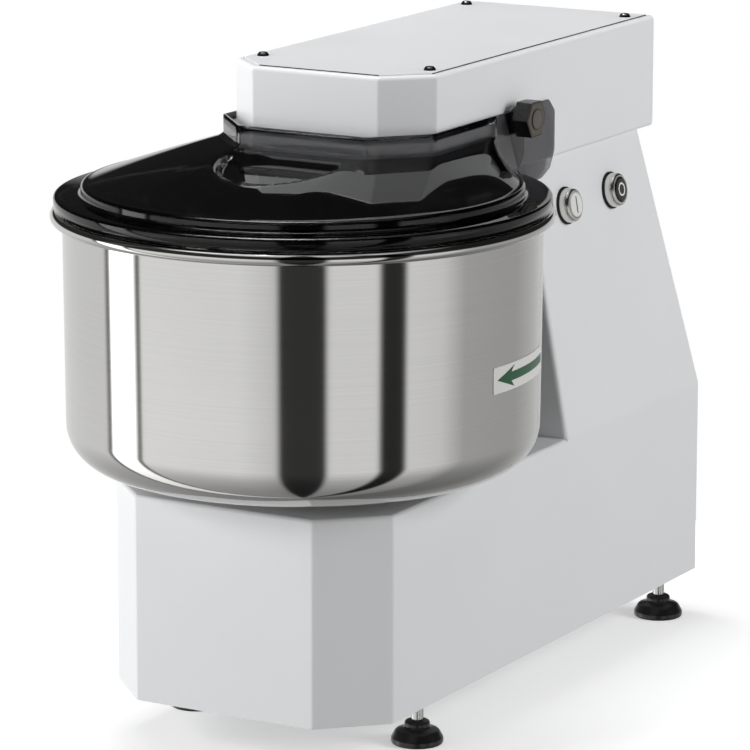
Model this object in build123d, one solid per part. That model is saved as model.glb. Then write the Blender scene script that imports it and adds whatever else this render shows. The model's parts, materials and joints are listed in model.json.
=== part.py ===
from build123d import *
import math
import os

# Spiral dough mixer with a turning bowl, a fixed head and a tilting smoked lid.
# Millimetres, +Z up, floor at Z = 0. Everything is drawn about the bowl's own axis
# (X = 0, Y = 0, the front of the machine towards -Y) and save() then moves it back by
# ORIGIN_Y, so that the finished part has its origin under the middle of the machine.

# ---- base and column casing (folded sheet, powder coated) ----
BASE_HALF_W = 121.0
BASE_FRONT = -118.0
BASE_REAR = 442.5
BASE_BOTTOM = 38.0
DECK_TOP = 197.0
BASE_CUT_X = 44.0
BASE_CUT_Y = 43.0
SHEET = 2.0
BASE_FLANGE = 32.0
COLUMN_FRONT = 203.0
COLUMN_TOP = 414.0
COLUMN_TOP_HALF_W = 84.0
COLUMN_TOP_FRONT = 200.0
COLUMN_TOP_REAR = 396.0
BEND_R = 4.0
CREASE_R = 12.0

# ---- head ----
HEAD_HALF_W = 88.0
HEAD_FRONT = 17.5
HEAD_REAR = 417.0
HEAD_BOTTOM = COLUMN_TOP
HEAD_TOP = 504.5
HEAD_CUT_X = 33.0
HEAD_CUT_Y = 31.0
COVER_INSET = 5.5
COVER_GAP = 0.6
COVER_T = 2.0
COVER_PROUD = 0.8
COVER_SCREW_X = 73.0
COVER_SCREW_Y = (64.0, 391.0)
SUPPORT_T = 8.0

# ---- bowl ----
BOWL_R = 181.0
BOWL_FOOT_R = 179.6
BOWL_BOTTOM = 210.0
BOWL_WALL = 1.5
BOWL_CORNER_R = 32.0
RIM_Z = 400.0
RIM_R = 4.7
RIM_CENTRE_R = 185.6
LABEL_R = 180.2
LABEL_T = 0.3

# ---- lid ----
LID_FLANGE_R = 187.6
LID_FLANGE_Z = 415.5
LID_T = 2.7
LID_LIP_Z = 406.2
DOME_R = 167.0
DOME_Z = 424.0
SKIRT_BOTTOM = 447.0
SKIRT_TOP = 462.0
SKIRT_HALF_W = 93.0
SKIRT_FRONT = -3.3
SKIRT_CUT_X = 37.0
SKIRT_CUT_Y = 40.0
SKIRT_T = 2.4
HINGE_Y = 167.5
HINGE_Z = 456.0
PIN_R = 6.0
HINGE_BOSS_R = 11.0
KNOB_COLLAR = 3.5
RUN_FIT = 0.05
GUARD_T = 2.0
GUARD_X = 88.3

# ---- chain drive (08B roller chain) ----
PITCH = 12.7
ROLLER_R = 4.25
SEAT_R = 4.6
TOOTH_W = 7.2
BOWL_TEETH = 50
PINION_TEETH = 10
TOP_TEETH = 20
BOWL_WRAP = 31
PINION_WRAP = 5
LOWER_SPAN = 26
UPPER_SPAN = 19
LOWER_CHAIN_Z = 80.0
UPPER_CHAIN_Z = 472.0

# ---- two-stage spur reduction ----
STAGE_TEETH = (15, 58)
MODULE_1 = 1.5
MODULE_2 = 2.0
STAGE_1_Z = (163.0, 175.0)
STAGE_2_Z = (133.0, 149.0)
MOTOR_Y = 264.0
MOTOR_R = 55.0
BOX_BOTTOM = 118.0
BOX_TOP = 192.0

# ---- push buttons, on the leaning right side of the column ----
BUTTON_Z = 373.0
START_Y = 254.0
STOP_Y = 333.0
BUTTON_HOLE_R = 11.2
BEZEL_R = 13.8
BUTTON_TRAVEL = 3.0
CAP_R = 10.0
CAP_H = 6.8
NECK_R = 10.9

# ---- feet ----
FOOT_X = 98.5
FOOT_Y = (2.0, 416.0)
STUD_R = 5.0

GLAND_TIP_Y = 460.5
BOWL_FRONT = -(RIM_CENTRE_R + RIM_R)
ORIGIN_Y = (BOWL_FRONT + GLAND_TIP_Y) / 2


def pitch_radius(teeth):
    """Radius of the circle through the chain's rollers on a sprocket."""
    return PITCH / 2 / math.sin(math.pi / teeth)


def span_run():
    """Sideways and lengthways reach of one straight run of the lower chain."""
    bowl_angle = (BOWL_WRAP - 1) * math.pi / BOWL_TEETH
    pinion_angle = (PINION_WRAP - 1) * math.pi / PINION_TEETH
    bowl_r, pinion_r = pitch_radius(BOWL_TEETH), pitch_radius(PINION_TEETH)
    start = (bowl_r * math.sin(bowl_angle), -bowl_r * math.cos(bowl_angle))
    end_x = pinion_r * math.sin(pinion_angle)
    reach = math.sqrt((LOWER_SPAN * PITCH) ** 2 - (start[0] - end_x) ** 2)
    return start, (end_x, start[1] + reach), pinion_r * math.cos(pinion_angle)


RUN_START, RUN_END, PINION_RISE = span_run()
MAIN_Y = RUN_END[1] - PINION_RISE
SPIRAL_Y = MAIN_Y - UPPER_SPAN * PITCH
SPIRAL_R = 51.0
SPIRAL_BAR_R = 9.0
BAR_Y = 33.0


def stage_centre():
    """Place of the intermediate shaft, from the two gear pairs' centre distances."""
    total = sum(STAGE_TEETH) / 2
    first, second = total * MODULE_1, total * MODULE_2
    apart = MAIN_Y - MOTOR_Y
    along = (first ** 2 - second ** 2 + apart ** 2) / (2 * apart)
    return math.sqrt(first ** 2 - along ** 2), MOTOR_Y + along


MID_X, MID_Y = stage_centre()


# ---------------------------------------------------------------- helpers

def save(node, shape):
    """Write one sub-part, with the origin moved under the middle of the machine."""
    solids = shape.solids() if hasattr(shape, "solids") else [s for p in shape for s in p.solids()]
    placed = [Pos(0, -ORIGIN_Y, 0) * s for s in solids]
    group = placed[0] if len(placed) == 1 else Compound(children=placed)
    export_step(group, f"parts/{node}.step")


def disc(radius, low, high, x=0.0, y=0.0):
    return Pos(x, y, (low + high) / 2) * Cylinder(radius, high - low)


def ring(outer, inner, low, high, x=0.0, y=0.0):
    return disc(outer, low, high, x, y) - disc(inner, low - 1, high + 1, x, y)


def block(x_range, y_range, z_range):
    size = [b - a for a, b in (x_range, y_range, z_range)]
    middle = [(a + b) / 2 for a, b in (x_range, y_range, z_range)]
    return Pos(*middle) * Box(*size)


def prism(face, low, high):
    return Pos(0, 0, low) * extrude(face, high - low)


def hexagon(across_flats, low, high, x=0.0, y=0.0):
    face = RegularPolygon(across_flats / 2, 6, major_radius=False)
    return Pos(x, y, 0) * prism(face, low, high)


def cut_plan(half_w, front, rear, cut_x, cut_y, inset=0.0):
    """Plan of a box whose two front corners are cut off."""
    points = [(-half_w + cut_x, front), (half_w - cut_x, front), (half_w, front + cut_y),
              (half_w, rear), (-half_w, rear), (-half_w, front + cut_y)]
    face = make_face(Polyline(*points, close=True))
    return offset(face, -inset, kind=Kind.INTERSECTION) if inset else face


def bearing(bore, outer, low, high, x=0.0, y=0.0):
    """Deep-groove ball bearing: inner ring, outer ring and balls."""
    land = (outer - bore) * 0.3
    middle_r = (bore + outer) / 2
    middle_z = (low + high) / 2
    ball_r = (outer - bore) * 0.27
    track = Pos(x, y, middle_z) * Torus(middle_r, ball_r + 0.1)
    inner = ring(bore + land, bore, low, high, x, y) - track
    outside = ring(outer, outer - land, low, high, x, y) - track
    count = int(math.pi * middle_r / (ball_r * 1.25))
    balls = [loc * Sphere(ball_r) for loc in
             Pos(x, y, middle_z) * PolarLocations(middle_r, count)]
    return [inner, outside, *balls]


def button_screw(length):
    """M5 button-head screw, pointing down from its own seat at Z = 0."""
    dome = Pos(0, 0, -1.2) * Sphere(4.94) & block((-6, 6), (-6, 6), (0, 2.75))
    socket = hexagon(3.0, 1.2, 4.0)
    return dome + disc(2.5, -length, 0.01) - socket


# ---------------------------------------------------------------- casing

def column_loft(inset, low=DECK_TOP):
    """The leaning column, between its outlines at the deck and at the head."""
    def outline(z, half_w, front, rear):
        return Pos(0, (front + rear) / 2, z) * Rectangle(2 * (half_w - inset), rear - front - 2 * inset)
    foot = outline(low, BASE_HALF_W, COLUMN_FRONT, BASE_REAR)
    top = outline(COLUMN_TOP, COLUMN_TOP_HALF_W, COLUMN_TOP_FRONT, COLUMN_TOP_REAR)
    return loft([foot, top], ruled=True)


def side_plane():
    """Frame on the column's right side at button height: Z out of the panel, Y to the rear."""
    lean = (BASE_HALF_W - COLUMN_TOP_HALF_W) / (COLUMN_TOP - DECK_TOP)
    x = BASE_HALF_W - lean * (BUTTON_Z - DECK_TOP)
    normal = Vector(1, 0, lean).normalized()
    return Plane(origin=(x, 0, BUTTON_Z), x_dir=(0, 1, 0), z_dir=normal)


def button_place(y):
    plane = side_plane()
    return Plane(origin=plane.from_local_coords((y, 0, 0)), x_dir=(0, 1, 0), z_dir=plane.z_dir).location


def casing_outside():
    plan = cut_plan(BASE_HALF_W, BASE_FRONT, BASE_REAR, BASE_CUT_X, BASE_CUT_Y)
    base = prism(plan, BASE_BOTTOM, DECK_TOP)
    upright = base.edges().filter_by(Axis.Z).filter_by(lambda e: e.center().Y < 0)
    base = fillet(upright, BEND_R)
    deck = [e for e in base.edges().group_by(Axis.Z)[-1] if e.center().Y < BASE_REAR - 10]
    base = fillet(deck, 3.0)
    heel = block((-BASE_HALF_W, BASE_HALF_W), (COLUMN_FRONT, BASE_REAR), (BASE_BOTTOM, DECK_TOP))
    column = column_loft(0)
    front = [e for e in column.edges() if e.bounding_box().size.Z > 200 and e.center().Y < 210]
    body = base + heel + fillet(front, BEND_R)

    for across in (Axis.Y, Axis.X):
        level = body.edges().filter_by(across).filter_by(lambda e: abs(e.center().Z - DECK_TOP) < 0.1)
        crease = [e for e in level if e.center().Y > 300 and e.length > 200]
        body = fillet(crease, CREASE_R)
    rear = [e for e in body.edges() if e.bounding_box().size.Z > 100 and e.center().Y > 400]
    return fillet(rear, BEND_R)


def base_casing():
    plan_in = cut_plan(BASE_HALF_W, BASE_FRONT, BASE_REAR, BASE_CUT_X, BASE_CUT_Y, SHEET)
    hollow = prism(plan_in, BASE_BOTTOM + SHEET, DECK_TOP - SHEET)
    hollow += block((-BASE_HALF_W + SHEET, BASE_HALF_W - SHEET),
                    (COLUMN_FRONT + SHEET, BASE_REAR - SHEET - 1), (DECK_TOP - 40, DECK_TOP))
    hollow += column_loft(SHEET + 0.4) - block((-200, 200), (0, 600), (COLUMN_TOP - SHEET, 500))
    plan_open = cut_plan(BASE_HALF_W, BASE_FRONT, BASE_REAR, BASE_CUT_X, BASE_CUT_Y, BASE_FLANGE)
    shell = casing_outside() - hollow
    shell -= prism(plan_open, BASE_BOTTOM - 1, BASE_BOTTOM + SHEET + 1)
    shell -= disc(44.0, DECK_TOP - 6, DECK_TOP + 1)
    shell -= block((-58, 58), (222, 380), (COLUMN_TOP - 4, COLUMN_TOP + 1))
    shell -= [disc(6.0, 30, 45, sx * FOOT_X, y) for sx in (-1, 1) for y in FOOT_Y]
    shell -= [disc(4.4, 405, 420, sx * 68, y) for sx in (-1, 1) for y in (225, 365)]
    shell -= [button_place(y) * Cylinder(BUTTON_HOLE_R, 20) for y in (START_Y, STOP_Y)]
    shell -= block((-90, 90), (BASE_REAR - 6, BASE_REAR + 1), (62, 180))
    return shell - rear_screw_holes()


def base_plate():
    plan = cut_plan(BASE_HALF_W, BASE_FRONT, BASE_REAR, BASE_CUT_X, BASE_CUT_Y, SHEET + 0.5)
    plate = prism(plan, BASE_BOTTOM + SHEET, BASE_BOTTOM + SHEET + 4)
    plate -= [disc(STUD_R + RUN_FIT, 30, 50, sx * FOOT_X, y) for sx in (-1, 1) for y in FOOT_Y]
    plate -= [disc(22, 30, 50, sx * 55, y) for sx in (-1, 1) for y in (60, 150)]
    return plate


def rear_screw_places():
    return [(x, z) for x in (-97, 0, 97) for z in (56, 186)]


def rear_screw_holes():
    return [Pos(x, BASE_REAR, z) * Rot(90, 0, 0) * Cylinder(2.6, 12) for x, z in rear_screw_places()]


def gland_place():
    return Pos(-70, BASE_REAR, 82) * Rot(-90, 0, 0)


def rear_cover():
    """Louvred access cover behind the drive."""
    cover = block((-103, 103), (BASE_REAR, BASE_REAR + 1.5), (50, 192))
    cover -= [block((x - 12, x + 12), (BASE_REAR - 1, BASE_REAR + 3), (z, z + 4))
              for x in (-20, 14, 48) for z in range(96, 160, 9)]
    cover -= gland_place() * Cylinder(8.1, 10)
    return cover - rear_screw_holes()


def cover_screws():
    head = [Pos(sx * COVER_SCREW_X, y, HEAD_TOP + COVER_PROUD) * button_screw(9)
            for sx in (-1, 1) for y in COVER_SCREW_Y]
    rear = [Pos(x, BASE_REAR + 1.5, z) * Rot(-90, 0, 0) * button_screw(5)
            for x, z in rear_screw_places()]
    return [*head, *rear]


def cable_gland():
    """Screwed inlet for the supply cord, on the rear cover."""
    body = hexagon(22, 1.5, 7) + disc(8.0, -7, 1.6) + disc(9.5, 7, 15)
    body += Pos(0, 0, 15) * Cone(9.5, 7.0, 3, align=(Align.CENTER, Align.CENTER, Align.MIN))
    body -= disc(4.5, -10, 30)
    nut = hexagon(21, -6, -0.5) - disc(8.0, -10, 5)
    return [gland_place() * body, gland_place() * nut]


def levelling_foot(x, y):
    """Domed pad on a steel stud; the stud screws into the base plate."""
    with BuildSketch(Plane.XZ) as half:
        with BuildLine():
            Polyline((0, 0), (19.2, 0), (20, 1.0), (20, 4.0))
            ThreePointArc((20, 4.0), (16.2, 9.6), (10.5, 12.0))
            Polyline((10.5, 12.0), (10.5, 17.5), (9.5, 18.5), (0, 18.5), (0, 0))
        make_face()
    pad = Pos(x, y, 0) * revolve(half.sketch, Axis.Z)
    pad -= disc(STUD_R, 6, 30, x, y)
    return [pad, disc(STUD_R, 6, 58, x, y)]


def foot_lock_nuts():
    return [hexagon(17, 29.8, BASE_BOTTOM, sx * FOOT_X, y) - disc(STUD_R + RUN_FIT, 20, 60, sx * FOOT_X, y)
            for sx in (-1, 1) for y in FOOT_Y]


# ---------------------------------------------------------------- head

def head_plan(inset=0.0):
    return cut_plan(HEAD_HALF_W, HEAD_FRONT, HEAD_REAR, HEAD_CUT_X, HEAD_CUT_Y, inset)


def head_holes(low, high):
    """Holes shared by the head's floor and the support plate that stiffens it."""
    holes = [disc(33.5, low, high, 0, SPIRAL_Y), disc(28.5, low, high, 0, MAIN_Y),
             disc(6.1, low, high, 0, BAR_Y)]
    return holes + [disc(4.4, low, high, sx * 68, y) for sx in (-1, 1) for y in (225, 365)]


def head_shell():
    outside = prism(head_plan(), HEAD_BOTTOM, HEAD_TOP)
    outside = fillet(outside.edges().filter_by(Axis.Z), BEND_R)
    outside = fillet(outside.edges().group_by(Axis.Z)[-1], 3.5)
    bottom_rear = [e for e in outside.edges().group_by(Axis.Z)[0] if e.center().Y > HEAD_REAR - 5]
    outside = fillet(bottom_rear, 3.0)
    seat = HEAD_TOP + COVER_PROUD - COVER_T
    shell = outside - prism(head_plan(SHEET), HEAD_BOTTOM + SHEET, seat - SHEET)
    shell -= prism(head_plan(COVER_INSET), seat, HEAD_TOP + 1)
    shell -= prism(head_plan(24.0), seat - SHEET - 1, HEAD_TOP)
    shell -= head_holes(HEAD_BOTTOM - 1, HEAD_BOTTOM + SHEET + 1)
    shell -= [disc(2.6, seat - 5, HEAD_TOP, sx * COVER_SCREW_X, y)
              for sx in (-1, 1) for y in COVER_SCREW_Y]
    shell -= Pos(0, HINGE_Y, HINGE_Z) * Rot(0, 90, 0) * Cylinder(PIN_R + 2.0, 240)
    return shell


def head_cover():
    high = HEAD_TOP + COVER_PROUD
    cover = prism(head_plan(COVER_INSET + COVER_GAP), high - COVER_T, high)
    cover -= [disc(2.6, 490, high + 1, sx * COVER_SCREW_X, y)
              for sx in (-1, 1) for y in COVER_SCREW_Y]
    return cover


def head_support_plate():
    low = HEAD_BOTTOM + SHEET
    plate = prism(head_plan(SHEET + 1.0), low, low + SUPPORT_T)
    return plate - head_holes(low - 1, low + SUPPORT_T + 1)


def head_bolts():
    """M8 bolts that clamp the head and its support plate to the column."""
    seat = HEAD_BOTTOM + SHEET + SUPPORT_T
    bolts = []
    for sx in (-1, 1):
        for y in (225, 365):
            x = sx * 68
            bolts.append(hexagon(13, seat, seat + 5.3, x, y) + disc(4.0, 400, seat + 0.01, x, y))
            bolts.append(hexagon(13, 405, COLUMN_TOP - SHEET, x, y) - disc(4.0, 400, 420, x, y))
    return bolts


def breaker_bar():
    """Fixed upright bar that the spiral works the dough against."""
    bar = disc(7.5, 236, HEAD_BOTTOM, 0, BAR_Y)
    tip = bar.edges().group_by(Axis.Z)[0]
    return fillet(tip, 6.0) + disc(6.0, HEAD_BOTTOM, 440, 0, BAR_Y)


def breaker_bar_nut():
    seat = HEAD_BOTTOM + SHEET + SUPPORT_T
    return hexagon(19, seat, seat + 10, 0, BAR_Y) - disc(6.0, 410, 450, 0, BAR_Y)


def spiral_bearing_housing():
    seat = HEAD_BOTTOM + SHEET + SUPPORT_T
    body = ring(33, 28, 405, 463, 0, SPIRAL_Y) + ring(47, 28, seat, seat + 8, 0, SPIRAL_Y)
    body += ring(28.2, 22, 423, 446, 0, SPIRAL_Y)
    holes = Pos(0, SPIRAL_Y, seat + 4) * PolarLocations(40, 4, start_angle=45)
    return body - [loc * Cylinder(3.3, 12) for loc in holes]


def spiral_bearings():
    return [*bearing(12.5, 26, 408, 423, 0, SPIRAL_Y), *bearing(12.5, 26, 446, 461, 0, SPIRAL_Y)]


def main_bearing_housing():
    seat = HEAD_BOTTOM + SHEET + SUPPORT_T
    body = ring(28, 26, 408, seat, 0, MAIN_Y) + ring(42, 26, seat, seat + 6, 0, MAIN_Y)
    return body + ring(28, 26, seat, seat + 10, 0, MAIN_Y)


# ---------------------------------------------------------------- bowl

def bowl():
    """Spun bowl: flat floor, rounded corner, slightly tapered wall and a rolled rim."""
    inner_foot = BOWL_FOOT_R - BOWL_WALL
    inner_top = BOWL_R - BOWL_WALL
    floor = BOWL_BOTTOM + BOWL_WALL
    corner = BOWL_BOTTOM + BOWL_CORNER_R
    round_in = BOWL_CORNER_R - BOWL_WALL
    diagonal = math.sin(math.radians(45))
    flat_r = BOWL_FOOT_R - BOWL_CORNER_R
    with BuildSketch(Plane.XZ) as half:
        with BuildLine():
            Polyline((0, floor), (flat_r, floor))
            ThreePointArc((flat_r, floor), (flat_r + round_in * diagonal, corner - round_in * diagonal),
                          (inner_foot, corner))
            Polyline((inner_foot, corner), (inner_top, RIM_Z - 0.4))
            ThreePointArc((inner_top, RIM_Z - 0.4), (181.4, 403.3), (RIM_CENTRE_R, RIM_Z + RIM_R))
            ThreePointArc((RIM_CENTRE_R, RIM_Z + RIM_R), (RIM_CENTRE_R + RIM_R, RIM_Z),
                          (RIM_CENTRE_R, RIM_Z - RIM_R))
            ThreePointArc((RIM_CENTRE_R, RIM_Z - RIM_R), (182.3, 396.65), (BOWL_R, 398.8))
            Polyline((BOWL_R, 398.8), (BOWL_FOOT_R, corner))
            ThreePointArc((BOWL_FOOT_R, corner),
                          (flat_r + BOWL_CORNER_R * diagonal, corner - BOWL_CORNER_R * diagonal),
                          (flat_r, BOWL_BOTTOM))
            Polyline((flat_r, BOWL_BOTTOM), (0, BOWL_BOTTOM), (0, floor))
        make_face()
    shell = revolve(half.sketch, Axis.Z)
    return shell - [loc * Cylinder(3.1, 10) for loc in Pos(0, 0, BOWL_BOTTOM) * PolarLocations(42, 6)]


def bowl_hub():
    """Flange under the bowl, with the shaft that carries it."""
    hub = disc(55, 201, BOWL_BOTTOM) + disc(17.45, 66, 202)
    return hub - [loc * Cylinder(3.1, 30) for loc in Pos(0, 0, BOWL_BOTTOM) * PolarLocations(42, 6)]


def bowl_hub_bolts():
    bolts = []
    for loc in Pos(0, 0, 0) * PolarLocations(42, 6):
        head = disc(5.2, BOWL_BOTTOM + BOWL_WALL, BOWL_BOTTOM + BOWL_WALL + 3)
        bolts.append(loc * (head + disc(3.0, 202, BOWL_BOTTOM + BOWL_WALL + 0.01)))
    return bolts


def bowl_bearing_housing():
    """Flanged housing that hangs through the deck and carries the bowl's shaft."""
    body = ring(38, 31, 104, 199, 0, 0) + ring(60, 31, 186, DECK_TOP - SHEET, 0, 0)
    return body + ring(31.2, 24, 122, 180, 0, 0)


def bowl_bearings():
    return [*bearing(17.5, 31, 107, 121.5), *bearing(17.5, 31, 180.5, 195)]


def rotation_label():
    """Thin film on the bowl wall with the arrow that shows which way it turns."""
    first, last = math.radians(-9), math.radians(21)
    middle = (first + last) / 2
    low, high = 285.0, 305.0

    def arc_points(r):
        return [(r * math.cos(a), r * math.sin(a)) for a in (first, middle, last)]
    inner, outer = arc_points(LABEL_R), arc_points(LABEL_R + LABEL_T)
    with BuildSketch() as sector:
        with BuildLine():
            ThreePointArc(*inner)
            Polyline(inner[2], outer[2])
            ThreePointArc(*reversed(outer))
            Polyline(outer[0], inner[0])
        make_face()
    return prism(sector.sketch, low, high)


# ---------------------------------------------------------------- chain drive

def sprocket(teeth, bore, hub_r, hub_low, hub_high, z, turn=0.0, relief=1.4):
    """Plate-wheel sprocket with a hub; a seat for a roller lies at angle turn (degrees)."""
    pitch_r = pitch_radius(teeth)
    blank = Circle(pitch_r + 3.0)
    seats = Rot(0, 0, turn) * PolarLocations(pitch_r, teeth)
    mouths = Rot(0, 0, turn) * PolarLocations(pitch_r + 4.6, teeth)
    blank -= [loc * Circle(SEAT_R) for loc in seats]
    blank -= [loc * Circle(SEAT_R + relief) for loc in mouths]
    wheel = prism(blank, z - TOOTH_W / 2, z + TOOTH_W / 2)
    wheel += disc(hub_r, hub_low, hub_high)
    return wheel - disc(bore, 0, 600)


def chain_links(points, z):
    """Rollers at the given points, with inner and outer side plates in turn."""
    pieces = []
    count = len(points)
    for index, (x, y) in enumerate(points):
        after_x, after_y = points[(index + 1) % count]
        length = math.hypot(after_x - x, after_y - y)
        angle = math.degrees(math.atan2(after_y - y, after_x - x))
        gap = 3.9 if index % 2 else 5.45
        plate = extrude(SlotCenterToCenter(length, 9.6 if index % 2 else 9.0), 1.4)
        middle = Pos((x + after_x) / 2, (y + after_y) / 2, z) * Rot(0, 0, angle)
        pieces.append(Pos(x, y, z) * Cylinder(ROLLER_R, 7.7))
        pieces.append(middle * Pos(0, 0, gap) * plate)
        pieces.append(middle * Pos(0, 0, -gap - 1.4) * plate)
    return pieces


def lower_chain_points():
    """One closed loop of roller centres round the bowl sprocket and its pinion."""
    bowl_r, pinion_r = pitch_radius(BOWL_TEETH), pitch_radius(PINION_TEETH)
    half_bowl = (BOWL_WRAP - 1) * 180 / BOWL_TEETH
    half_pinion = (PINION_WRAP - 1) * 180 / PINION_TEETH
    points = []
    for step in range(BOWL_WRAP):
        a = math.radians(-90 - half_bowl + step * 360 / BOWL_TEETH)
        points.append((bowl_r * math.cos(a), bowl_r * math.sin(a)))
    for step in range(1, LOWER_SPAN):
        f = step / LOWER_SPAN
        points.append((RUN_START[0] + f * (RUN_END[0] - RUN_START[0]),
                       RUN_START[1] + f * (RUN_END[1] - RUN_START[1])))
    for step in range(PINION_WRAP):
        a = math.radians(90 - half_pinion + step * 360 / PINION_TEETH)
        points.append((pinion_r * math.cos(a), MAIN_Y + pinion_r * math.sin(a)))
    for step in range(LOWER_SPAN - 1, 0, -1):
        f = step / LOWER_SPAN
        points.append((-RUN_START[0] - f * (RUN_END[0] - RUN_START[0]),
                       RUN_START[1] + f * (RUN_END[1] - RUN_START[1])))
    return points


def upper_chain_points():
    """One closed loop of roller centres round the two equal sprockets in the head."""
    r = pitch_radius(TOP_TEETH)
    half = TOP_TEETH // 2
    points = []
    for step in range(half + 1):
        a = math.radians(180 + step * 180 / half)
        points.append((r * math.cos(a), SPIRAL_Y + r * math.sin(a)))
    points += [(r, SPIRAL_Y + step * PITCH) for step in range(1, UPPER_SPAN)]
    for step in range(half + 1):
        a = math.radians(step * 180 / half)
        points.append((r * math.cos(a), MAIN_Y + r * math.sin(a)))
    points += [(-r, MAIN_Y - step * PITCH) for step in range(1, UPPER_SPAN)]
    return points


def bowl_sprocket():
    return sprocket(BOWL_TEETH, 17.45, 32, 68, 92, LOWER_CHAIN_Z, -90)


def lower_drive_sprocket():
    wheel = sprocket(PINION_TEETH, 12.5, 14.2, 70, 90, LOWER_CHAIN_Z, 90, relief=2.1)
    return Pos(0, MAIN_Y, 0) * wheel


def upper_drive_sprocket():
    return Pos(0, MAIN_Y, 0) * sprocket(TOP_TEETH, 12.5, 24, 464, 476, UPPER_CHAIN_Z)


def spiral_sprocket():
    return Pos(0, SPIRAL_Y, 0) * sprocket(TOP_TEETH, 12.45, 24, 464, 476, UPPER_CHAIN_Z)


# ---------------------------------------------------------------- spiral

def spiral_shaft():
    shaft = disc(12.45, 366, 484, 0, SPIRAL_Y) + disc(17, 396, 407, 0, SPIRAL_Y)
    return shaft + disc(10, 484, 490, 0, SPIRAL_Y)


def spiral_shaft_nut():
    return hexagon(30, 476, 483, 0, SPIRAL_Y) - disc(12.45, 470, 490, 0, SPIRAL_Y)


def spiral_hook():
    """Round bar wound into a spiral below a socket that takes the shaft."""
    low, high = 224.0, 350.0
    wind = Helix(pitch=(high - low) / 1.25, height=high - low, radius=SPIRAL_R)
    start = wind @ 0
    section = Plane(origin=start, z_dir=wind % 0) * Circle(SPIRAL_BAR_R)
    bar = Pos(0, 0, low) * sweep(section, path=wind, is_frenet=True)
    top = Pos(0, 0, low) * Pos(*(wind @ 1))
    bottom = Pos(0, 0, low) * Pos(*start)
    reach = Vector((wind @ 1).X, (wind @ 1).Y, 0)
    arm = Plane(origin=(0, 0, high), z_dir=reach).location * Cylinder(
        SPIRAL_BAR_R, SPIRAL_R, align=(Align.CENTER, Align.CENTER, Align.MIN))
    socket = disc(17, 341, 396) - disc(12.45, 366, 400)
    hook = bar + arm + top * Sphere(SPIRAL_BAR_R) + bottom * Sphere(SPIRAL_BAR_R) + socket
    return Pos(0, SPIRAL_Y, 0) * hook


# ---------------------------------------------------------------- reduction and motor

def spur_teeth(teeth, module, low, high, turn):
    """Spur wheel blank with straight-flanked teeth, thinned for backlash; a tooth lies at turn."""
    pitch_r = teeth * module / 2
    root_r = pitch_r - 1.25 * module
    tip_r = pitch_r + 0.85 * module
    half_root = 0.98 * module
    half_tip = 0.30 * module
    tooth = make_face(Polyline((root_r - 1, -half_root), (tip_r, -half_tip), (tip_r, half_tip),
                               (root_r - 1, half_root), close=True))
    around = [Rot(0, 0, turn + 360 * i / teeth) * tooth for i in range(teeth)]
    return prism(Circle(root_r) + around, low, high)


def mesh_turn(own_teeth, mate_teeth, toward, mate_turn):
    """Turn that puts a gap of this wheel where the mate's tooth is, on the line of centres."""
    mate_phase = (math.degrees(toward) + 180 - mate_turn) % (360 / mate_teeth)
    own_phase = mate_phase * mate_teeth / own_teeth
    return math.degrees(toward) + own_phase + 180 / own_teeth


def gear_turns():
    """Rest angles of the four gears, so that both pairs are in mesh."""
    motor_to_mid = math.atan2(MID_Y - MOTOR_Y, MID_X)
    main_to_mid = math.atan2(MID_Y - MAIN_Y, MID_X)
    pinion_1 = math.degrees(motor_to_mid)
    wheel_1 = mesh_turn(STAGE_TEETH[1], STAGE_TEETH[0], motor_to_mid + math.pi, pinion_1)
    pinion_2 = math.degrees(main_to_mid) + 180
    wheel_2 = mesh_turn(STAGE_TEETH[1], STAGE_TEETH[0], main_to_mid, pinion_2)
    return pinion_1, wheel_1, pinion_2, wheel_2


def motor_rotor():
    """Rotor, its shaft and the pinion cut on the shaft's lower end."""
    turn = gear_turns()[0]
    pinion = spur_teeth(STAGE_TEETH[0], MODULE_1, *STAGE_1_Z, turn)
    shaft = disc(7.45, 155, 378) + disc(29.5, 232, 318)
    return Pos(0, MOTOR_Y, 0) * (pinion + shaft)


def first_stage_gear():
    turn = gear_turns()[1]
    wheel = spur_teeth(STAGE_TEETH[1], MODULE_1, *STAGE_1_Z, turn)
    return Pos(MID_X, MID_Y, 0) * (wheel - disc(9.0, 100, 200))


def intermediate_shaft():
    turn = gear_turns()[2]
    pinion = spur_teeth(STAGE_TEETH[0], MODULE_2, *STAGE_2_Z, turn)
    shaft = disc(7.45, 122, 189) + disc(9.0, 150, 176)
    return Pos(MID_X, MID_Y, 0) * (pinion + shaft)


def second_stage_gear():
    turn = gear_turns()[3]
    wheel = spur_teeth(STAGE_TEETH[1], MODULE_2, *STAGE_2_Z, turn)
    return Pos(0, MAIN_Y, 0) * (wheel - disc(12.5, 100, 200))


def main_shaft():
    """Upright shaft that drives the bowl from its foot and the spiral from its top."""
    lower = disc(12.45, 66, 130, 0, MAIN_Y) + disc(12.5, 130, 150, 0, MAIN_Y)
    return lower + disc(12.45, 150, 484, 0, MAIN_Y)


def gearbox_plan(inset=0.0):
    x_low, x_high, y_low, y_high = -70.0, 104.0, 208.0, MAIN_Y + 70
    box = Pos((x_low + x_high) / 2, (y_low + y_high) / 2) * RectangleRounded(
        x_high - x_low - 2 * inset, y_high - y_low - 2 * inset, 20 - inset)
    return box


def gearbox_housing():
    """Cast oil-bath housing for the two gear stages."""
    cup = prism(gearbox_plan(), BOX_BOTTOM, BOX_TOP - 10) - prism(gearbox_plan(6), BOX_BOTTOM + 12, 200)
    cup -= disc(26, BOX_BOTTOM - 1, BOX_BOTTOM + 13, 0, MAIN_Y)
    cup -= disc(17.5, BOX_BOTTOM + 2, BOX_BOTTOM + 14, MID_X, MID_Y)
    return cup


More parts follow.
